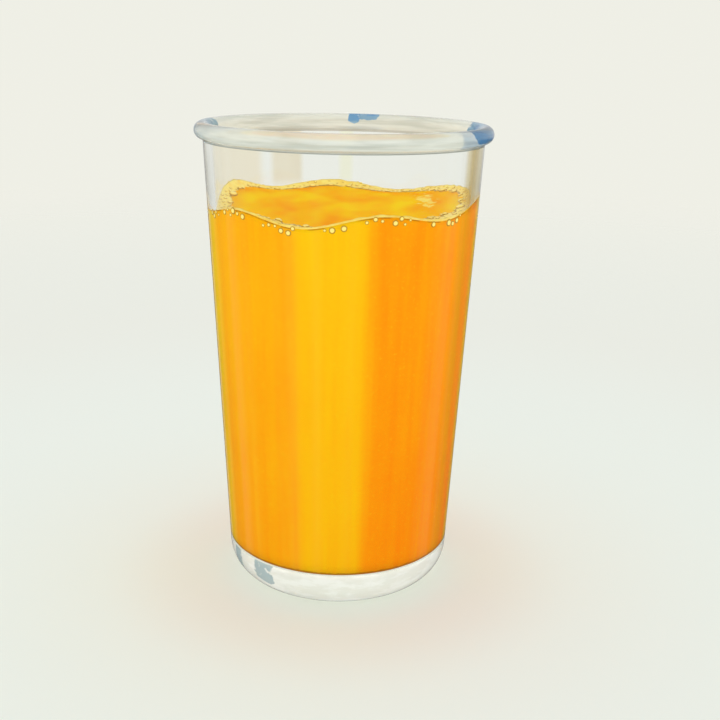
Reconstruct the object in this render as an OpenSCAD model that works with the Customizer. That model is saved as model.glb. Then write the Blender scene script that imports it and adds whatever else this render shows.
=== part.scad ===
// A tumbler of orange juice: a tapered pressed glass with a rolled lip and a thick
// clear base, the juice that fills it to an uneven level, and the thin ring of
// froth that clings to the wall on top of the juice.
// Millimetres. The origin is the middle of the foot, +Z is up, and -Y is the front.

/* [Glass] */
// Height from the table to the top of the lip
glass_h = 128; // [100:1:170]
// Outer diameter of the wall at the lip, without the bead
top_d = 75; // [68:1:92]
// Outer diameter that the wall's taper reaches at the table
base_d = 61.4; // [54:0.2:67]
// Thickness of the wall, measured level
wall = 2.2; // [1.8:0.1:4]
// Thickness of the base under the juice
floor_t = 8; // [6:0.2:16]
// How far the rolled lip stands out from the wall
bead_out = 2.2; // [1:0.1:4]
// Radius of the hollow where the lip meets the wall
neck_r = 0.9; // [0.4:0.1:2]
// Radius of the heel, outside
heel_r = 10; // [4:0.5:12]
// Radius of the corner between wall and base, inside
inner_heel_r = 7; // [4:0.5:12]

/* [Foot] */
// Width of the flat ring that stands on the table
foot_w = 4; // [2:0.5:8]
// Depth of the shallow hollow under the base
punt_h = 0.8; // [0.3:0.1:2]

/* [Juice] */
// From the mean level of the juice up to the top of the lip
headroom = 21; // [16:0.5:50]
// How strongly the surface swells, 0 for level
swell = 1; // [0:0.1:1.4]
// Clearance between the juice and the glass
juice_gap = 0.1; // [0.05:0.01:0.3]

/* [Froth] */
// Height of the froth where it clings to the wall
froth_h = 1.5; // [1:0.1:3]
// Mean width of the froth ring
froth_w = 3.2; // [2:0.2:6]
// How much the ring's width and height vary
froth_uneven = 0.35; // [0:0.05:0.45]
// Clearance between the froth and the juice under it
froth_gap = 0.1; // [0.1:0.01:0.3]

/* [Hidden] */
$fn = 144;
arc_steps = 12;

// Slices round the axis and rings across the surface, shared by juice and froth
slices = 96;
surface_rings = 8;
froth_steps = 4;

// Taper of the wall: how fast its radius grows with height, and its angle
taper = (top_d - base_d) / 2 / glass_h;
taper_a = atan(taper);

// Rolled lip: a round bead flush with the inner wall
bead_r = (wall + bead_out) / 2;
bead_z = glass_h - bead_r;
bead_mid = inner_r(bead_z) + bead_r;

// Hollow under the bead: an arc that touches both the bead and the wall
neck_mid = outer_r(glass_h - 2 * bead_r) + neck_r;
neck_z = bead_z - sqrt(pow(bead_r + neck_r, 2) - pow(neck_mid - bead_mid, 2));
neck_a = atan2(bead_z - neck_z, bead_mid - neck_mid);

// Heel and foot
heel_mid = outer_r(heel_r) - heel_r / cos(taper_a);
punt_edge = heel_mid - foot_w;
punt_arc_r = (pow(punt_edge, 2) + pow(punt_h, 2)) / 2 / punt_h;
punt_a = asin(punt_edge / punt_arc_r);

// Inner corner of the cavity
corner_z = floor_t + inner_heel_r;
corner_mid = inner_r(corner_z) - inner_heel_r / cos(taper_a);

// Waves of the juice's surface: the size of each at the wall, and where it crests.
// The first goes once round the glass, the second twice, and so on.
level = glass_h - headroom;
wave_size = [1, 1.1, 0.7, 0.4, 0.9, 0.9];
wave_crest = [140, 160, -40, 25, 135, 65];

// Lumps of the froth ring, in the same form, as shares of its width and height
lump_size = [0.4, 0.3, 0.45, 0.35];
lump_count = [2, 3, 5, 9];
lump_crest = [-60, 100, -110, 30];
froth_lip = 0.4;

function outer_r(z) = base_d / 2 + taper * z;
function inner_r(z) = outer_r(z) - wall;

// Points of an arc about a centre, from one angle to another
function arc(mid_r, mid_z, r, from, to, steps = arc_steps) =
    [for (i = [0:steps]) let (a = from + (to - from) * i / steps)
        [mid_r + r * cos(a), mid_z + r * sin(a)]];

// Inner corner from the flat floor up to the straight wall, drawn in by a gap
function cavity_floor(gap) =
    arc(corner_mid, corner_z, inner_heel_r - gap, -90, -taper_a);

// Height of the juice above its mean level, at a share of the radius and an angle
// from the front. Each wave dies away towards the middle, as it does on a liquid.
function wave(share, a) = swell * wave_size * [for (k = [1:len(wave_size)])
    pow(share, k) * cos(k * a - wave_crest[k - 1])];

// Radius at which the juice meets the glass at an angle
function shore_r(a) = inner_r(level + wave(1, a)) - juice_gap;

// Unevenness of the froth at an angle, about 1
function lump(a) = 1 + froth_uneven * lump_size * [for (i = [0:len(lump_count) - 1])
    cos(lump_count[i] * a - lump_crest[i])];

function spot(r, a, z) = [r * sin(a), -r * cos(a), z];
function slice_a(i) = 360 * i / slices;

// Quads between two rings of points whose first indices are given
function band(low, high) = [for (i = [0:slices - 1]) let (j = (i + 1) % slices)
    [low + i, high + i, high + j, low + j]];

module glass() {
    outline = concat(
        arc(0, punt_h - punt_arc_r, punt_arc_r, 90, 90 - punt_a),
        arc(heel_mid, heel_r, heel_r, -90, -taper_a),
        arc(neck_mid, neck_z, neck_r, 180, neck_a),
        arc(bead_mid, bead_z, bead_r, neck_a - 180, 180, 2 * arc_steps),
        [for (i = [arc_steps:-1:0]) cavity_floor(0)[i]],
        [[0, floor_t]]);
    color([0.86, 0.92, 0.93, 0.4])
        rotate_extrude()
            polygon(outline);
}

// The juice is a skin of rings: up the cavity, then inwards across the surface.
module juice() {
    floor_ring = cavity_floor(juice_gap);
    side = [for (p = floor_ring) for (i = [0:slices - 1]) spot(p[0], slice_a(i), p[1])];
    surface = [for (n = [surface_rings:-1:1]) for (i = [0:slices - 1])
        let (a = slice_a(i), share = n / surface_rings)
        spot(share * shore_r(a), a, level + wave(share, a))];
    rings = len(floor_ring) + surface_rings;
    points = concat(side, surface, [[0, 0, floor_t + juice_gap], [0, 0, level]]);
    under = rings * slices;
    over = under + 1;
    last = (rings - 1) * slices;
    skin = [for (n = [0:rings - 2]) each band(n * slices, (n + 1) * slices)];
    bottom = [for (i = [0:slices - 1]) [under, i, (i + 1) % slices]];
    top = [for (i = [0:slices - 1]) [over, last + (i + 1) % slices, last + i]];
    color([1, 0.66, 0.04])
        polyhedron(points, concat(skin, bottom, top), convexity = 6);
}

// The froth is a ring of slices: along the juice from the wall inwards, then back
// over its rounded top.
module froth() {
    points = [for (s = [0:2 * froth_steps + 1]) for (i = [0:slices - 1])
        let (
            a = slice_a(i),
            back = s > froth_steps,
            across = (back ? 2 * froth_steps + 1 - s : s) / froth_steps,
            r = shore_r(a) - froth_w * lump(a) * across,
            crown = froth_lip + (froth_h * lump(a) - froth_lip) * cos(90 * across),
            seat = level + wave(r / shore_r(a), a) + froth_gap
        )
        spot(r, a, seat + (back ? crown : 0))];
    rings = 2 * froth_steps + 2;
    color([1, 0.88, 0.45])
        polyhedron(points,
            [for (n = [0:rings - 1]) each band((n + 1) % rings * slices, n * slices)],
            convexity = 8);
}

glass();
juice();
froth();
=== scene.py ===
import math

import bmesh
import bpy
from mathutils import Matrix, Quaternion, Vector, noise


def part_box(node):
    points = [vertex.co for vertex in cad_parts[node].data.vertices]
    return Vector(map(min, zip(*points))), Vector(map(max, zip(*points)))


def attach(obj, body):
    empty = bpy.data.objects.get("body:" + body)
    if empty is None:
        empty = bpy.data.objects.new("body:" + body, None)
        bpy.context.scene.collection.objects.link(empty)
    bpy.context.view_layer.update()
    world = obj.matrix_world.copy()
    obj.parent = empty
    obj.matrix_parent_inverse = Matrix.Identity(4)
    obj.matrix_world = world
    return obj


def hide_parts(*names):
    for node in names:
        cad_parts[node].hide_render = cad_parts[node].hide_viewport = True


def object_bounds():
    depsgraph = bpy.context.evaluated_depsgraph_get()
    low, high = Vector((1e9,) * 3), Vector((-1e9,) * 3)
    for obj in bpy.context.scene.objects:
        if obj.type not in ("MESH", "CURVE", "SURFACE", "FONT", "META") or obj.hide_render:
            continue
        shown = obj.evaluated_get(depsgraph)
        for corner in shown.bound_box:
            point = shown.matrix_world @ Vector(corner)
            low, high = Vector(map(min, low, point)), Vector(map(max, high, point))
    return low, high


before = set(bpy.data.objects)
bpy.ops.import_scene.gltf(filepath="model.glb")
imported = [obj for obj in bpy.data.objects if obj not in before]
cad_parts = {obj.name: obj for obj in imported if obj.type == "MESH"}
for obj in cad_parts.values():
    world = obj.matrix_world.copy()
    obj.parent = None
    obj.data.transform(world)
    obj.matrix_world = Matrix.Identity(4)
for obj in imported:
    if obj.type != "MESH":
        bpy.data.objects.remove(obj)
cadLow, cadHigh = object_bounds()
scene = bpy.context.scene
mm = 0.001
print("frame loaded, height", round(cadHigh.z / mm, 1), "mm")


class Signal:
    # a number on its way through a shader, so that maths on it reads as plain maths
    def __init__(self, paint, socket):
        self.paint = paint
        self.socket = socket

    def calc(self, operation, *values):
        settings = {"operation": operation}
        return self.paint.number("ShaderNodeMath", settings, dict(enumerate(values)))

    def __add__(self, other):
        return self.calc("ADD", self, other)

    def __radd__(self, other):
        return self.calc("ADD", other, self)

    def __sub__(self, other):
        return self.calc("SUBTRACT", self, other)

    def __rsub__(self, other):
        return self.calc("SUBTRACT", other, self)

    def __mul__(self, other):
        return self.calc("MULTIPLY", self, other)

    def __rmul__(self, other):
        return self.calc("MULTIPLY", other, self)

    def __truediv__(self, other):
        return self.calc("DIVIDE", self, other)

    def __pow__(self, other):
        return self.calc("POWER", self, other)

    def clipped(self):
        return self.calc("MINIMUM", self.calc("MAXIMUM", self, 0.0), 1.0)

    def smooth(self, low, high):
        # 0 below low, 1 above high, and an even curve between them
        settings = {"interpolation_type": "SMOOTHSTEP"}
        return self.paint.number("ShaderNodeMapRange", settings, {0: self, 1: low, 2: high})


class Paint:
    # one shader tree; every node in it is made by node()
    def __init__(self, owner):
        owner.use_nodes = True
        self.owner = owner
        self.tree = owner.node_tree
        self.tree.nodes.clear()

    def node(self, kind, settings=None, sockets=None):
        made = self.tree.nodes.new(kind)
        for name, value in (settings or {}).items():
            setattr(made, name, value)
        for name, value in (sockets or {}).items():
            value = getattr(value, "socket", value)
            if isinstance(value, bpy.types.NodeSocket):
                self.tree.links.new(value, made.inputs[name])
            else:
                made.inputs[name].default_value = value
        return made

    def number(self, kind, settings, sockets, output=0):
        return Signal(self, self.node(kind, settings, sockets).outputs[output])

    def place(self):
        return self.node("ShaderNodeTexCoord").outputs["Object"]

    def axes(self, vector):
        split = self.node("ShaderNodeSeparateXYZ", None, {0: vector})
        return [Signal(self, socket) for socket in split.outputs]

    def attribute(self, name):
        return self.number("ShaderNodeAttribute", {"attribute_name": name}, None, "Fac")

    def vector(self, x, y, z):
        return self.node("ShaderNodeCombineXYZ", None, {0: x, 1: y, 2: z}).outputs[0]

    def grain(self, vector, scale, detail=2.0, roughness=0.5):
        sockets = {"Vector": vector, "Scale": scale, "Detail": detail, "Roughness": roughness}
        return self.number("ShaderNodeTexNoise", None, sockets)

    def blend(self, share, first, second):
        settings = {"data_type": "RGBA"}
        made = self.node("ShaderNodeMix", settings, {0: share, 6: first, 7: second})
        return made.outputs[2]

    def bump(self, height, strength, distance):
        sockets = {"Height": height, "Strength": strength, "Distance": distance}
        return self.node("ShaderNodeBump", None, sockets).outputs[0]

    def finish(self, shader, volume=None):
        kind = "World" if isinstance(self.owner, bpy.types.World) else "Material"
        sockets = {"Surface": shader}
        if volume is not None:
            sockets["Volume"] = volume
        self.node("ShaderNodeOutput" + kind, None, sockets)
        return self.owner


def newPaint(name):
    return Paint(bpy.data.materials.new(name))


def colour(red, green, blue):
    return (red, green, blue, 1.0)


class Around:
    # where a point of a round piece lies, and which way it faces from the glass's axis
    def __init__(self, paint):
        self.paint = paint
        self.place = paint.place()
        self.x, self.y, self.z = paint.axes(self.place)
        self.radius = (self.x * self.x + self.y * self.y) ** 0.5 + 1e-5
        self.east = self.x / self.radius
        self.south = self.y / self.radius * -1

    def facing(self, middle, half, soft):
        # 1 on the upright band of wall round the angle middle, fading to 0 at its sides
        angle = math.radians(middle)
        towards = self.east * math.sin(angle) + self.south * math.cos(angle)
        outer = math.cos(math.radians(half + soft / 2))
        inner = math.cos(math.radians(max(half - soft / 2, 0.1)))
        return towards.smooth(outer, inner)

    def blot(self, share, scale):
        # turns a soft mask into an irregular blot with a short edge
        ragged = self.paint.grain(self.place, scale, 3.0, 0.6) - 0.5
        return (share + ragged * 2.2).smooth(0.5, 0.72)


def pieceFrom(name, points, faces, materials):
    mesh = bpy.data.meshes.new(name)
    mesh.from_pydata(points, [], faces)
    for material in materials:
        mesh.materials.append(material)
    mesh.shade_smooth()
    piece = bpy.data.objects.new(name, mesh)
    scene.collection.objects.link(piece)
    return piece


def ringFaces(ringCount, slices, closed=False):
    # quads between rings of points, each ring slices points long
    steps = ringCount if closed else ringCount - 1
    faces = []
    for ring in range(steps):
        low = ring * slices
        high = (ring + 1) % ringCount * slices
        for here in range(slices):
            there = (here + 1) % slices
            faces.append((low + here, low + there, high + there, high + here))
    return faces


def spot(radius, angle, height):
    # angle 0 is the front, and it grows towards +X
    return Vector((radius * math.sin(angle), -radius * math.cos(angle), height))


def outlineOf(node):
    # a turned CAD piece has a seam on +X, and the seam's edges are its outline
    shape = bmesh.new()
    shape.from_mesh(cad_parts[node].data)
    bmesh.ops.remove_doubles(shape, verts=shape.verts, dist=1e-6)
    seam = {v for v in shape.verts if abs(v.co.y) < 1e-6 and v.co.x > -1e-6}
    here = min((v for v in seam if v.co.x < 1e-6), key=lambda v: v.co.z)
    walked = []
    while here is not None:
        walked.append(here)
        around = [e.other_vert(here) for e in here.link_edges]
        ahead = [v for v in around if v in seam and v not in walked]
        here = min(ahead, key=lambda v: (v.co - here.co).length) if ahead else None
    outline = [(v.co.x, v.co.z) for v in walked]
    shape.free()
    return outline


def innerPart(outline):
    # from the top of the lip down the inside to the middle of the floor, turned to run upwards
    top = max(range(len(outline)), key=lambda i: outline[i][1])
    return outline[top:][::-1]


def between(table, at):
    # straight-line reading of a table of (at, value) that rises in at
    for (low, first), (high, second) in zip(table, table[1:]):
        if at <= high:
            return first + (second - first) * max(0.0, at - low) / (high - low)
    return table[-1][1]


glassOutline = outlineOf("glass")
cavity = innerPart(glassOutline)
floorHeight = cavity[0][1]
wallTable = [(z, r) for r, z in cavity if z > floorHeight + 1e-6]


def wallAt(height):
    return between(wallTable, height)


def shoreOf(node):
    # the ring of points where the juice meets the wall, as {angle: height}
    points = [v.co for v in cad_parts[node].data.vertices]
    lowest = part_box(node)[1].z - 12 * mm
    nearWall = 0.5 * mm
    high = [p for p in points if p.z > lowest and math.hypot(p.x, p.y) > wallAt(p.z) - nearWall]
    return {round(math.atan2(p.x, -p.y), 4): p.z for p in high}


shore = shoreOf("juice")
level = sum(shore.values()) / len(shore)
# the shore's waves, by how many times each goes round the glass
waveParts = []
for count in range(1, 9):
    along = sum(z * math.cos(count * a) for a, z in shore.items()) * 2 / len(shore)
    across = sum(z * math.sin(count * a) for a, z in shore.items()) * 2 / len(shore)
    waveParts.append((count, along, across))


def juiceHeight(share, angle):
    # the surface's waves die away towards the middle
    rise = level
    for count, along, across in waveParts:
        wave = along * math.cos(count * angle) + across * math.sin(count * angle)
        rise += share ** count * wave
    return rise


print("outline points", len(glassOutline), "shore points", len(shore))
print("level of the juice", round(level / mm, 1), "mm")


glassLook = {
    "segments": 128,
    "longestStep": 3 * mm,
    "tint": colour(0.995, 1.0, 1.0),
    "depthTint": colour(0.72, 0.86, 0.93),
    "depthDensity": 14.0,
    "ior": 1.33,  # low, so that the lip stays light
    "baseTop": floorHeight + 3.3 * mm,  # height up to which the base shows on the outside
    "lipFrom": cadHigh.z - 4.7 * mm,  # height from which the rolled lip is painted pale for the light it gathers, and bluer for the sky it reflects
    "lipClear": 0.58,  # share of light that goes through the lip
    "lipGatheredLight": colour(0.85, 0.86, 0.8),
    "lipShade": colour(0.64, 0.66, 0.6),
    "lipLine": colour(0.42, 0.4, 0.33),
    "baseClear": 0.35,
    "baseGatheredLight": colour(1.0, 1.0, 0.98),
    "baseShade": colour(0.9, 0.895, 0.85),
    "baseReflectedBlue": colour(0.36, 0.47, 0.52),
    "waviness": 0.03,
    "shade": colour(0.985, 0.99, 0.985),  # what one surface lets by of the light for the inside
}

# faint upright bands painted on the free wall, standing in for the reflections and shade a real
# glass shows there: angle in the middle, half width, softness, tint
wallPaintedReflections = [
    (-108, 28, 6, colour(0.97, 0.90, 0.77)),
    (-151, 8, 3, colour(0.93, 0.86, 0.73)),
    (179, 3, 3, colour(0.99, 0.99, 0.86)),
    (67, 8, 4, colour(0.67, 0.54, 0.3)),
]

# and bluer places of the lip, painted reflections of blue sky, in the same way, with how far they
# reach down from its top
lipPaintedReflections = [
    (80, 26, 16, 2.8 * mm, colour(0.1, 0.26, 0.47)),
    (169, 4, 7, 1.1 * mm, colour(0.18, 0.38, 0.62)),
    (175.5, 2.2, 4, 1.9 * mm, colour(0.18, 0.38, 0.62)),
    (-90, 13, 10, 3.4 * mm, colour(0.14, 0.28, 0.37)),
]

# blue-grey places of the base, painted reflections: angle in the middle, half width, softness
basePaintedReflections = [(-41, 6, 6), (-64, 4, 5)]


def glassFinish(paint, shown, clear, rough, normal):
    shader = paint.node("ShaderNodeBsdfPrincipled", None, {
        "Base Color": shown,
        "Transmission Weight": clear,
        "IOR": glassLook["ior"],
        "Roughness": rough,
        "Normal": normal,
    })
    # light for what is inside passes straight through the glass
    path = paint.node("ShaderNodeLightPath")
    through = paint.node("ShaderNodeBsdfTransparent", None, {"Color": glassLook["shade"]})
    for ray in ("Is Diffuse Ray", "Is Shadow Ray"):
        sockets = {0: path.outputs[ray], 1: shader.outputs[0], 2: through.outputs[0]}
        shader = paint.node("ShaderNodeMixShader", None, sockets)
    depth = {"Color": glassLook["depthTint"], "Density": glassLook["depthDensity"]}
    volume = paint.node("ShaderNodeVolumeAbsorption", None, depth)
    return paint.finish(shader.outputs[0], volume.outputs[0])


def clearGlass():
    paint = newPaint("clearGlass")
    at = Around(paint)
    # pressed glass is a little uneven, mostly from side to side
    swirl = paint.grain(paint.vector(at.x, at.y, at.z * 0.15), 90.0, 1.0)
    normal = paint.bump(swirl, glassLook["waviness"], 1 * mm)
    rough = paint.grain(at.place, 220.0) * 0.02
    shown = glassLook["tint"]
    free = at.z.smooth(level - 1 * mm, level + 3 * mm)
    # the free wall's painted reflections and shade
    for middle, half, soft, tint in wallPaintedReflections:
        shown = paint.blend(at.facing(middle, half, soft) * free, shown, tint)
    return glassFinish(paint, shown, 1.0, rough, normal)


def lipGlass():
    # the rolled lip is painted a little milky, standing in for the light it gathers, and painted
    # bluer in places for the sky it reflects
    paint = newPaint("lipGlass")
    at = Around(paint)
    along = paint.vector(at.east, at.south, at.radius * 400 + at.z * 300)
    brushed = paint.grain(along, 1.6, 3.0, 0.6)
    shown = paint.blend(brushed.smooth(0.35, 0.65), glassLook["lipShade"], glassLook["lipGatheredLight"])
    # painted blue reflections on the lip
    for middle, half, soft, down, tint in lipPaintedReflections:
        high = at.z.smooth(cadHigh.z - down - 1.2 * mm, cadHigh.z - down)
        share = at.blot(at.facing(middle, half, soft) * high, 230.0)
        shown = paint.blend(share, shown, tint)
    # a thin shade where the lip leaves the wall
    neck = at.z.smooth(glassLook["lipFrom"] + 0.6 * mm, glassLook["lipFrom"] + 0.2 * mm)
    shown = paint.blend(neck * 0.6, shown, glassLook["lipLine"])
    normal = paint.bump(brushed, 0.05, 1 * mm)
    return glassFinish(paint, shown, glassLook["lipClear"], 0.03 + brushed * 0.03, normal)


def baseGlass():
    # the thick base is painted pale and milkier still, standing in for the light it gathers
    paint = newPaint("baseGlass")
    at = Around(paint)
    cloud = paint.grain(paint.vector(at.x, at.y, at.z * 3), 130.0, 3.0, 0.65)
    pale = paint.blend(cloud.smooth(0.4, 0.62), glassLook["baseShade"], glassLook["baseGatheredLight"])
    high = at.z.smooth(0.35 * glassLook["baseTop"], 0.58 * glassLook["baseTop"])
    # painted blue-grey reflections in the base
    first, second = (at.facing(*place) for place in basePaintedReflections)
    blue = at.blot((first + second) * high, 240.0)
    shown = paint.blend(blue * 0.9, pale, glassLook["baseReflectedBlue"])
    normal = paint.bump(paint.grain(at.place, 90.0, 1.0), 0.05, 1 * mm)
    return glassFinish(paint, shown, glassLook["baseClear"], 0.05 + cloud * 0.05, normal)


def makeGlass():
    outline = [glassOutline[0]]
    for r, z in glassOutline[1:]:
        lastR, lastZ = outline[-1]
        steps = math.ceil(math.hypot(r - lastR, z - lastZ) / glassLook["longestStep"])
        for step in range(1, steps + 1):
            share = step / steps
            outline.append((lastR + (r - lastR) * share, lastZ + (z - lastZ) * share))
    # the ring nearest the top of the base moves to it exactly
    outside = max(range(len(outline)), key=lambda i: outline[i][1])
    edge = min(range(outside), key=lambda i: abs(outline[i][1] - glassLook["baseTop"]))
    outline[edge] = (outline[edge][0], glassLook["baseTop"])
    slices = glassLook["segments"]
    rings = outline[1:-1]
    points = [spot(r, 2 * math.pi * i / slices, z) for r, z in rings for i in range(slices)]
    under = len(points)
    points += [spot(0, 0, outline[0][1]), spot(0, 0, outline[-1][1])]
    faces = ringFaces(len(rings), slices)
    flanks = len(faces)
    last = (len(rings) - 1) * slices
    for here in range(slices):
        there = (here + 1) % slices
        faces.append((under, there, here))
        faces.append((under + 1, last + here, last + there))
    materials = [clearGlass(), baseGlass(), lipGlass()]
    piece = pieceFrom("tumbler", points, faces, materials)
    # after the flanks, faces of the underside and of the cavity's floor take turns
    for number, face in enumerate(piece.data.polygons):
        inBase = number < (edge - 1) * slices or number >= flanks and (number - flanks) % 2 == 0
        inLip = face.center.z > glassLook["lipFrom"]
        face.material_index = 1 if inBase else 2 if inLip else 0
    smoother = piece.modifiers.new("smoother", "SUBSURF")
    smoother.levels = 1
    smoother.render_levels = 1
    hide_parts("glass")
    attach(piece, "root")


makeGlass()
print("glass made")


juiceLook = {
    "slices": 256,
    "surfaceRings": 40,
    "sideSteps": 12,
    "unevenFrom": level - 15 * mm,  # height above which the side follows the waves of the shore
    "intoWall": 0.25 * mm,
    "climb": 0.7 * mm,  # how high the juice creeps up the wall
    "climbWidth": 1.6 * mm,
    "ripple": 0.12 * mm,
    "rippleScale": 160,
    "deep": colour(0.985, 0.24, 0.0005),
    "bright": colour(0.98, 0.6, 0.004),
    "fleck": colour(0.95, 0.66, 0.02),
    "line": colour(0.5, 0.16, 0.004),
    "stripe": colour(0.72, 0.3, 0.004),
    "stripeAt": (63, 4, 7),  # angle in the middle, half width, softness
    # the foot's colours and glow are painted light, standing in for the light the thick base
    # gathers
    "foot": colour(0.8, 0.76, 0.62),
    "footGatheredLight": colour(0.93, 0.93, 0.88),
    "footGlow": 0.3,
    "footTop": floorHeight + 2.7 * mm,  # the lowest part is seen only through the base
    "surfaceTone": 0.45,
    "surfaceDrift": 2.6,
    "surfaceDeep": colour(0.985, 0.33, 0.001),
    "surfaceBright": colour(0.985, 0.62, 0.003),
    "surfaceHighlight": colour(0.98, 0.76, 0.16),
    "highlightX": 0.656 * wallAt(level),
    "highlightWide": 4.6 * mm,
    "highlightDeep": 17 * mm,
}

# upright bands of painted light and shade on the juice: angle in the middle, half width, softness,
# and how much brighter
juiceLightBands = [
    (-84, 14, 12, 0.52),
    (-5, 15, 4, 0.30),
    (44, 30, 8, -0.26),
    (69, 5, 5, -0.12),
    (86, 8, 6, 0.45),
    (128, 16, 10, -0.24),
    (172, 20, 6, 0.28),
    (-142, 18, 10, -0.2),
]


def juicePaint(name, surface):
    paint = newPaint(name)
    at = Around(paint)
    pulp = paint.grain(at.place, 900.0, 2.0, 0.6) - 0.5
    if surface:
        drift = paint.grain(paint.vector(at.x, at.y * 0.55, 0.0), 95.0, 2.0, 0.55)
        tone = (drift - 0.5) * juiceLook["surfaceDrift"] + juiceLook["surfaceTone"] + pulp * 0.1
        normal = paint.bump(paint.grain(at.place, 260.0, 3.0), 0.12, 0.4 * mm)
    else:
        streaks = paint.grain(paint.vector(at.east, at.south, at.z * 1.2), 14.0, 3.0, 0.6) - 0.5
        washes = paint.grain(paint.vector(at.east, at.south, at.z * 22.0), 2.5, 2.0) - 0.5
        rise = at.z.smooth(floorHeight, level)
        tone = 0.36 + rise * 0.12 + streaks * 0.36 + washes * 0.2 + pulp * 0.12
        # painted light and shade in upright bands
        for middle, half, soft, bright in juiceLightBands:
            tone = tone + at.facing(middle, half, soft) * bright
        normal = paint.bump(paint.grain(at.place, 500.0, 3.0), 0.1, 0.2 * mm)
    tone = tone.clipped()
    ends = ("surfaceDeep", "surfaceBright") if surface else ("deep", "bright")
    body = paint.blend(tone, juiceLook[ends[0]], juiceLook[ends[1]])
    if not surface:
        # a browner stripe near the right, as the wall of the glass shades it
        stripe = at.facing(*juiceLook["stripeAt"]) * (0.6 + streaks).clipped()
        body = paint.blend(stripe * 0.8, body, juiceLook["stripe"])
        # the juice looks deepest in a thin line where it meets the base
        ragged = paint.grain(paint.vector(at.east, at.south, at.z), 18.0, 2.0) * 0.9 * mm
        line = (at.z - juiceLook["footTop"] - ragged).smooth(0.5 * mm, 0.1 * mm)
        body = paint.blend(line * 0.75, body, juiceLook["line"])
        # and in a thinner, broken one along its shore
        depth = paint.attribute("depth")
        broken = paint.grain(at.place, 300.0, 2.0).smooth(0.44, 0.54)
        shoreLine = depth.smooth(0.42 * mm, 0.2 * mm) * broken
        body = paint.blend(shoreLine * 0.7, body, juiceLook["line"])
    fleck = paint.grain(at.place, 1500.0, 2.0, 0.7).smooth(0.6, 0.72)
    shown = paint.blend(fleck * 0.25, body, juiceLook["fleck"])
    if surface:
        # a painted highlight, a paler patch near the right of the surface
        highlightX = (at.x - juiceLook["highlightX"]) / juiceLook["highlightWide"]
        highlightY = at.y / juiceLook["highlightDeep"]
        near = 1 - (highlightX * highlightX + highlightY * highlightY) ** 0.5
        shown = paint.blend(at.blot(near.clipped(), 420.0) * 0.8, shown, juiceLook["surfaceHighlight"])
    rough = (0.25 if surface else 0.45) + fleck * 0.2
    shader = paint.node("ShaderNodeBsdfPrincipled", None, {
        "Base Color": shown,
        "Roughness": rough,
        "Normal": normal,
        "IOR": 1.35,
        "Specular IOR Level": 0.0 if surface else 0.05,
        "Subsurface Weight": 0.2,
        "Subsurface Radius": (6.0, 2.5, 0.3),
        "Subsurface Scale": 1 * mm,
    })
    return paint.finish(shader.outputs[0])


def footLightPaint():
    # the underside is painted pale and given a faint glow, standing in for the light that the thick
    # base gathers; it shows only through the base
    paint = newPaint("juiceFootLight")
    cloud = paint.grain(paint.place(), 120.0, 2.0)
    shown = paint.blend(cloud, juiceLook["foot"], juiceLook["footGatheredLight"])
    shader = paint.node("ShaderNodeBsdfPrincipled", None, {
        "Base Color": shown,
        "Roughness": 0.6,
        "Specular IOR Level": 0.1,
        "Emission Color": shown,
        "Emission Strength": juiceLook["footGlow"],
    })
    return paint.finish(shader.outputs[0])


def makeJuice():
    slices = juiceLook["slices"]
    reach = juiceLook["intoWall"]
    angles = [2 * math.pi * i / slices for i in range(slices)]
    points = []
    side = [(r, z) for r, z in cavity[1:] if z < juiceLook["unevenFrom"]]
    edge = min(range(len(side)), key=lambda i: abs(side[i][1] - juiceLook["footTop"]))
    side[edge] = (side[edge][0], juiceLook["footTop"])
    depths = []  # how far each point of the side lies below the top of the juice
    topRadius, topOfSide = side[-1]
    for r, z in side:
        lowered = z - reach if r < 0.8 * topRadius else z
        points += [spot(r + reach, a, lowered) for a in angles]
        depths += [level - z for a in angles]
    sideSteps = juiceLook["sideSteps"]
    for step in range(1, sideSteps + 1):
        for a in angles:
            shoreLine = juiceHeight(1, a) + juiceLook["climb"]
            z = topOfSide + (shoreLine - topOfSide) * step / sideSteps
            points.append(spot(wallAt(z) + reach, a, z))
            depths.append(shoreLine - z)
    sideRings = len(side) + sideSteps
    for ring in range(juiceLook["surfaceRings"]):
        share = 1 - ring / juiceLook["surfaceRings"]
        for a in angles:
            wall = wallAt(juiceHeight(1, a))
            r = wall * share
            climb = juiceLook["climb"] * math.exp((r - wall) / juiceLook["climbWidth"] * 2)
            place = Vector((r * math.sin(a), r * math.cos(a), 0))
            wobble = noise.noise(place * juiceLook["rippleScale"])
            ripple = wobble * juiceLook["ripple"] * (1 - share ** 6)
            points.append(spot(r, a, juiceHeight(share, a) + climb + ripple))
    rings = sideRings + juiceLook["surfaceRings"]
    under = len(points)
    points += [spot(0, 0, floorHeight - reach), spot(0, 0, level)]
    flanks = ringFaces(rings, slices)
    bottom = [(under, (i + 1) % slices, i) for i in range(slices)]
    last = (rings - 1) * slices
    top = [(under + 1, last + i, last + (i + 1) % slices) for i in range(slices)]
    surfaceFrom = (sideRings - 1) * slices
    materials = [juicePaint("orangeJuice", False), juicePaint("juiceSurface", True), footLightPaint()]
    piece = pieceFrom("juiceFill", points, flanks + bottom + top, materials)
    depths += [0.0] * (len(points) - len(depths))
    piece.data.attributes.new("depth", "FLOAT", "POINT").data.foreach_set("value", depths)
    for number, face in enumerate(piece.data.polygons):
        onTop = surfaceFrom <= number < len(flanks) or number >= len(flanks) + len(bottom)
        face.material_index = 1 if onTop else 0
        if face.center.z < juiceLook["footTop"]:
            face.material_index = 2
    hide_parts("juice")
    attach(piece, "root")


makeJuice()
print("juice made")


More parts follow.
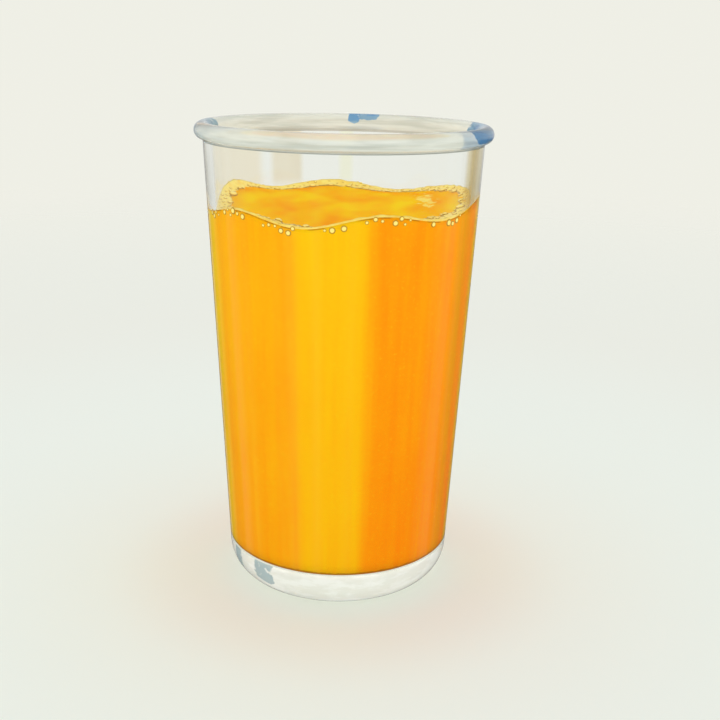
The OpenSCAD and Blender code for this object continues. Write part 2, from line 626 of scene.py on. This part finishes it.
frothLook = {
    "slices": 480,
    "steps": 7,
    "lip": 0.12 * mm,  # thickness of the inner edge
    "intoJuice": 0.3 * mm,
    "fromWall": 0.03 * mm,
    "lumpScale": 14,  # how many long and short lumps there are
    "fineScale": 30,
    "widthLumps": 0.45,  # how much the width varies by them, as a share of it
    "fineLumps": 0.1,
    "heightMean": 0.92,
    "heightLumps": 0.2,
    "wallSink": 0.03 * mm,  # how far the bubbles on the wall sit in the juice
    "wallDepth": 1.5 * mm,  # and how far down they reach
    "fineMargin": 0.4 * mm,  # how far the bubbles on the froth stay from the wall
    "largeMargin": 1.1 * mm,
    "lineTop": 0.68,  # where the painted shade line round a bubble's foot ends, as a share of the whole ball
    "wallLineTop": 0.76,
    "base": colour(0.95, 0.54, 0.015),
    "pale": colour(1.0, 0.8, 0.19),
    "bubbleHighlight": colour(1.0, 0.8, 0.22),
    "bubbleBase": colour(0.97, 0.66, 0.06),
    "bubbleEdgeShade": colour(0.42, 0.19, 0.01),
    "edgeLine": colour(0.4, 0.2, 0.015),
}

# inputs of the tree that scatters bubbles, and what each kind of bubble sets them to
bubbleInputs = {
    "Carrier": "Geometry", "Closest": "Float", "Smallest": "Float", "Largest": "Float",
    "Flatness": "Float", "Patchy": "Float", "Segments": "Int", "Rings": "Int", "Seed": "Int",
}
bubbleKinds = {
    "fineBubbles": {
        "Closest": 1.5 * mm, "Smallest": 0.3 * mm, "Largest": 0.6 * mm, "Flatness": 0.5,
        "Patchy": 0.42, "Segments": 8, "Rings": 6, "Seed": 3,
    },
    "wallBubbles": {
        "Closest": 1.6 * mm, "Smallest": 0.42 * mm, "Largest": 0.98 * mm, "Flatness": 0.3,
        "Patchy": 0.46, "Segments": 10, "Rings": 6, "Seed": 5,
    },
    "largeBubbles": {
        "Closest": 5.5 * mm, "Smallest": 0.7 * mm, "Largest": 1.25 * mm, "Flatness": 0.55,
        "Patchy": 0.3, "Segments": 18, "Rings": 10, "Seed": 11,
    },
}


def frothPaint():
    paint = newPaint("paleFroth")
    place = paint.place()
    settings = {"feature": "SMOOTH_F1"}
    cells = paint.number("ShaderNodeTexVoronoi", settings, {"Vector": place, "Scale": 700.0})
    drift = paint.grain(place, 150.0).smooth(0.35, 0.65)
    tone = (0.85 - cells * 0.7 + drift * 0.35).clipped()
    shown = paint.blend(tone, frothLook["base"], frothLook["pale"])
    # a thin broken line where the froth ends on the juice
    broken = paint.grain(place, 240.0, 2.0).smooth(0.42, 0.54)
    edge = paint.attribute("across").smooth(0.76, 0.86) * broken
    shown = paint.blend(edge * 0.8, shown, frothLook["edgeLine"])
    shader = paint.node("ShaderNodeBsdfPrincipled", None, {
        "Base Color": shown,
        "Roughness": 0.25 + drift * 0.2,
        "Normal": paint.bump(1 - cells, 0.04, 0.2 * mm),
        "IOR": 1.33,
        "Specular IOR Level": 0.15,
    })
    return paint.finish(shader.outputs[0])


def bubblePaint(name, lineTop):
    # each bubble has a painted highlight on top, and a thin line of painted shade round its foot
    paint = newPaint(name)
    ballMap = paint.node("ShaderNodeUVMap", {"uv_map": "UVMap"}).outputs[0]
    up = 1 - paint.axes(ballMap)[1]  # the ball's map runs from its top down
    drift = paint.grain(paint.place(), 320.0)
    crown = up.smooth(0.62, 0.9)
    line = up.smooth(0.5, 0.53) * up.smooth(lineTop + 0.04, lineTop - 0.04)
    tone = (crown * 0.8 + drift * 0.4).clipped()
    dome = paint.blend(tone, frothLook["bubbleBase"], frothLook["bubbleHighlight"])
    shown = paint.blend(line * 0.85, dome, frothLook["bubbleEdgeShade"])
    shader = paint.node("ShaderNodeBsdfPrincipled", None, {
        "Base Color": shown,
        "Roughness": 0.12 + drift * 0.15,
        "IOR": 1.33,
        "Specular IOR Level": 0.4,
    })
    return paint.finish(shader.outputs[0])


def frothEdge():
    # inner edge of the CAD froth, as a rising table of (angle, radius)
    found = {}
    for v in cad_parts["froth"].data.vertices:
        a = round(math.atan2(v.co.x, -v.co.y), 4)
        found[a] = min(found.get(a, 1.0), math.hypot(v.co.x, v.co.y))
    table = sorted(found.items())
    before = (table[-1][0] - 2 * math.pi, table[-1][1])
    after = (table[0][0] + 2 * math.pi, table[0][1])
    return [before] + table + [after]


def makeFroth():
    slices = frothLook["slices"]
    steps = frothLook["steps"]
    lip = frothLook["lip"]
    edge = frothEdge()
    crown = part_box("froth")[1].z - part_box("juice")[1].z
    points = []
    shares = []
    for ring in range(2 * steps + 2):
        back = ring > steps
        across = (2 * steps + 1 - ring if back else ring) / steps
        for i in range(slices):
            a = 2 * math.pi * i / slices
            turned = a if a <= math.pi else a - 2 * math.pi
            rough = noise.noise(Vector((math.sin(a), math.cos(a), 0)) * frothLook["lumpScale"])
            fine = noise.noise(Vector((math.sin(a), math.cos(a), 3)) * frothLook["fineScale"])
            wall = wallAt(juiceHeight(1, a))
            uneven = 1 + frothLook["widthLumps"] * rough + frothLook["fineLumps"] * fine
            width = (wall - between(edge, turned)) * uneven
            r = wall - frothLook["fromWall"] - width * across
            height = crown * (frothLook["heightMean"] + frothLook["heightLumps"] * rough)
            thick = lip + (height - lip) * (1 - across) ** 1.5
            seat = juiceHeight(r / wall, a)
            points.append(spot(r, a, seat + thick if back else seat - frothLook["intoJuice"]))
            shares.append(across)
    rings = 2 * steps + 2
    faces = [face[::-1] for face in ringFaces(rings, slices, True)]
    piece = pieceFrom("frothFilm", points, faces, [frothPaint()])
    piece.data.attributes.new("across", "FLOAT", "POINT").data.foreach_set("value", shares)
    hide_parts("froth")
    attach(piece, "root")
    return piece


def frothTop(film, margin):
    # the upper faces of the froth, but for those nearer the wall than a bubble needs
    shape = bmesh.new()
    shape.from_mesh(film.data)
    away = []
    for face in shape.faces:
        middle = face.calc_center_median()
        gap = wallAt(middle.z) - math.hypot(middle.x, middle.y)
        if face.normal.z < 0.2 or gap < margin:
            away.append(face)
    bmesh.ops.delete(shape, geom=away, context="FACES")
    mesh = bpy.data.meshes.new("frothTop")
    shape.to_mesh(mesh)
    shape.free()
    return mesh


def wallStrip():
    # the narrow strip of the wall where bubbles cling, just below the top of the juice
    slices = 360
    reach = juiceLook["intoWall"] - frothLook["wallSink"]
    low = []
    high = []
    for i in range(slices):
        a = 2 * math.pi * i / slices
        top = juiceHeight(1, a) + juiceLook["climb"]
        foot = top - frothLook["wallDepth"]
        low.append(spot(wallAt(foot) + reach, a, foot))
        high.append(spot(wallAt(top) + reach, a, top))
    mesh = bpy.data.meshes.new("wallStrip")
    mesh.from_pydata(low + high, [], ringFaces(2, slices))
    return mesh


def bubbleTree(name, material):
    # scatters low domes over the faces of the mesh it is given, each turned to its face
    tree = bpy.data.node_groups.new(name, "GeometryNodeTree")
    made = {}
    for label, kind in bubbleInputs.items():
        kind = "NodeSocket" + kind
        made[label] = tree.interface.new_socket(label, in_out="INPUT", socket_type=kind)
    tree.interface.new_socket("Bubbles", in_out="OUTPUT", socket_type="NodeSocketGeometry")

    def add(kind, settings, sockets):
        node = tree.nodes.new(kind)
        for key, value in settings.items():
            setattr(node, key, value)
        for key, value in sockets.items():
            if isinstance(value, bpy.types.NodeSocket):
                tree.links.new(value, node.inputs[key])
            else:
                node.inputs[key].default_value = value
        return node

    given = add("NodeGroupInput", {}, {}).outputs
    patches = add("ShaderNodeTexNoise", {}, {"Scale": 170.0, "Detail": 1.0})
    upper = add("ShaderNodeMath", {"operation": "ADD"}, {0: given["Patchy"], 1: 0.04})
    thick = add("ShaderNodeMapRange", {}, {
        "Value": patches.outputs[0], "From Min": given["Patchy"], "From Max": upper.outputs[0]})
    scatter = add("GeometryNodeDistributePointsOnFaces", {"distribute_method": "POISSON"}, {
        "Mesh": given["Carrier"], "Distance Min": given["Closest"], "Density Max": 4.0e6,
        "Density Factor": thick.outputs[0], "Seed": given["Seed"]})
    size = add("FunctionNodeRandomValue", {"data_type": "FLOAT"}, {"Seed": given["Seed"]})
    skewed = add("ShaderNodeMath", {"operation": "POWER"}, {0: size.outputs[1], 1: 1.8})
    radius = add("ShaderNodeMapRange", {}, {
        "Value": skewed.outputs[0], "To Min": given["Smallest"], "To Max": given["Largest"]})
    height = add("ShaderNodeMath", {"operation": "MULTIPLY"}, {
        0: radius.outputs[0], 1: given["Flatness"]})
    scale = add("ShaderNodeCombineXYZ", {}, {
        0: radius.outputs[0], 1: radius.outputs[0], 2: height.outputs[0]})
    ball = add("GeometryNodeMeshUVSphere", {}, {
        "Radius": 1.0, "Segments": given["Segments"], "Rings": given["Rings"]})
    kept = add("GeometryNodeStoreNamedAttribute", {"data_type": "FLOAT2", "domain": "CORNER"}, {
        "Geometry": ball.outputs["Mesh"], "Name": "UVMap", "Value": ball.outputs["UV Map"]})
    smooth = add("GeometryNodeSetShadeSmooth", {}, {"Geometry": kept.outputs[0]})
    placed = add("GeometryNodeInstanceOnPoints", {}, {
        "Points": scatter.outputs["Points"], "Instance": smooth.outputs[0],
        "Rotation": scatter.outputs["Rotation"], "Scale": scale.outputs[0]})
    real = add("GeometryNodeRealizeInstances", {}, {"Geometry": placed.outputs["Instances"]})
    painted = add("GeometryNodeSetMaterial", {}, {
        "Geometry": real.outputs[0], "Material": material})
    add("NodeGroupOutput", {}, {0: painted.outputs[0]})
    return tree, {label: socket.identifier for label, socket in made.items()}


def makeBubbles(name, carrier, lineTop):
    tree, names = bubbleTree(name + "Tree", bubblePaint(name, lineTop))
    holder = bpy.data.objects.new(name + "Holder", carrier)
    scene.collection.objects.link(holder)
    maker = holder.modifiers.new("bubbles", "NODES")
    maker.node_group = tree
    for label, value in bubbleKinds[name].items():
        maker[names[label]] = value
    bpy.context.view_layer.update()
    graph = bpy.context.evaluated_depsgraph_get()
    mesh = bpy.data.meshes.new_from_object(holder.evaluated_get(graph))
    bpy.data.objects.remove(holder)
    mesh.name = name
    piece = bpy.data.objects.new(name, mesh)
    scene.collection.objects.link(piece)
    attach(piece, "root")
    print(name, len(mesh.polygons), "faces")


frothFilm = makeFroth()
makeBubbles("fineBubbles", frothTop(frothFilm, frothLook["fineMargin"]), frothLook["lineTop"])
makeBubbles("wallBubbles", wallStrip(), frothLook["wallLineTop"])
makeBubbles("largeBubbles", frothTop(frothFilm, frothLook["largeMargin"]), frothLook["lineTop"])
print("froth made")


stageLook = {
    "floorRadius": 0.9,
    "floor": colour(0.826, 0.843, 0.79),
    "floorNear": colour(0.832, 0.895, 0.855),  # makes up for the orange light that the juice throws
    "seen": colour(0.865, 0.865, 0.79),
    "sky": colour(1.0, 1.0, 0.985),
    "overhead": 0.78,  # brightness of the air straight above
    "around": 1.68,  # and near the floor
    "gloom": 0.07,  # what the glass mirrors between the panels
    "panel": 0.32,
    "mirrored": 0.7,  # and what it mirrors from above and from straight below, between the panels
}


def makeFloor():
    paint = newPaint("paleFloor")
    x, y, z = paint.axes(paint.place())
    radius = (x * x + y * y) ** 0.5
    out = radius.smooth(stageLook["floorRadius"] * 0.35, stageLook["floorRadius"])
    near = radius.smooth(cadHigh.x, 1.8 * cadHigh.x) * radius.smooth(8 * cadHigh.x, 2 * cadHigh.x)
    tone = paint.blend(near, stageLook["floor"], stageLook["floorNear"])
    plain = paint.node("ShaderNodeBsdfDiffuse", None, {"Color": tone})
    gone = paint.node("ShaderNodeBsdfTransparent")
    path = paint.node("ShaderNodeLightPath")
    shown = plain
    for share in (out, path.outputs["Is Glossy Ray"]):
        sockets = {0: share, 1: shown.outputs[0], 2: gone.outputs[0]}
        shown = paint.node("ShaderNodeMixShader", None, sockets)
    slices = 96
    points = [spot(stageLook["floorRadius"], 2 * math.pi * i / slices, 0) for i in range(slices)]
    mesh = bpy.data.meshes.new("floor")
    mesh.from_pydata(points, [], [tuple(range(slices))])
    mesh.materials.append(paint.finish(shown.outputs[0]))
    floor = bpy.data.objects.new("floor", mesh)
    scene.collection.objects.link(floor)


def makeAir():
    world = bpy.data.worlds.new("studio")
    scene.world = world
    paint = Paint(world)
    path = paint.node("ShaderNodeLightPath")
    x, y, z = paint.axes(paint.node("ShaderNodeTexCoord").outputs["Generated"])
    # the air that lights the scene, brighter all round than overhead
    lift = z.smooth(0.0, 0.9)
    power = stageLook["around"] + lift * (stageLook["overhead"] - stageLook["around"])
    light = paint.node("ShaderNodeBackground", None, {"Color": stageLook["sky"], "Strength": power})
    # soft upright panels that show in the gloss
    flat = (x * x + y * y) ** 0.5 + 1e-4
    bands = paint.grain(paint.vector(x / flat, y / flat, 4.0), 2.2, 1.0).smooth(0.5, 0.66)
    free = z.smooth(-0.2, -0.04) + z.smooth(-0.66, -0.8)
    clear = free * (1 - bands) * stageLook["mirrored"]
    shine = stageLook["gloom"] + bands * stageLook["panel"] + clear
    gloss = paint.node("ShaderNodeBackground", None, {"Color": stageLook["sky"], "Strength": shine})
    plain = paint.node("ShaderNodeBackground", None, {"Color": stageLook["seen"], "Strength": 1.0})
    shown = light
    looks = (("Is Glossy Ray", gloss), ("Is Transmission Ray", plain), ("Is Camera Ray", plain))
    for ray, look in looks:
        sockets = {0: path.outputs[ray], 1: shown.outputs[0], 2: look.outputs[0]}
        shown = paint.node("ShaderNodeMixShader", None, sockets)
    paint.finish(shown.outputs[0])


makeFloor()
makeAir()
scene.view_settings.view_transform = "Standard"
print("stage made")


cameraLook = {
    "lens": 55.0,
    "back": 7.5,  # distance from the axis, as times the lip's radius
    "above": 0.52,  # height over the lip, in the same way
    "aimAcross": 5.4 * mm,
    "aimHeight": 0.489 * cadHigh.z,
    "roll": 1.18,
}


def makeCamera():
    lens = bpy.data.cameras.new("camera")
    lens.lens = cameraLook["lens"]
    lens.clip_start = 0.01
    camera = bpy.data.objects.new("camera", lens)
    scene.collection.objects.link(camera)
    radius = cadHigh.x
    camera.location = (0, -cameraLook["back"] * radius, cadHigh.z + cameraLook["above"] * radius)
    aim = Vector((cameraLook["aimAcross"], 0, cameraLook["aimHeight"])) - camera.location
    turn = Quaternion((0, 0, 1), math.radians(cameraLook["roll"]))
    camera.rotation_euler = (aim.to_track_quat("-Z", "Y") @ turn).to_euler()
    scene.camera = camera


makeCamera()
print("camera made")
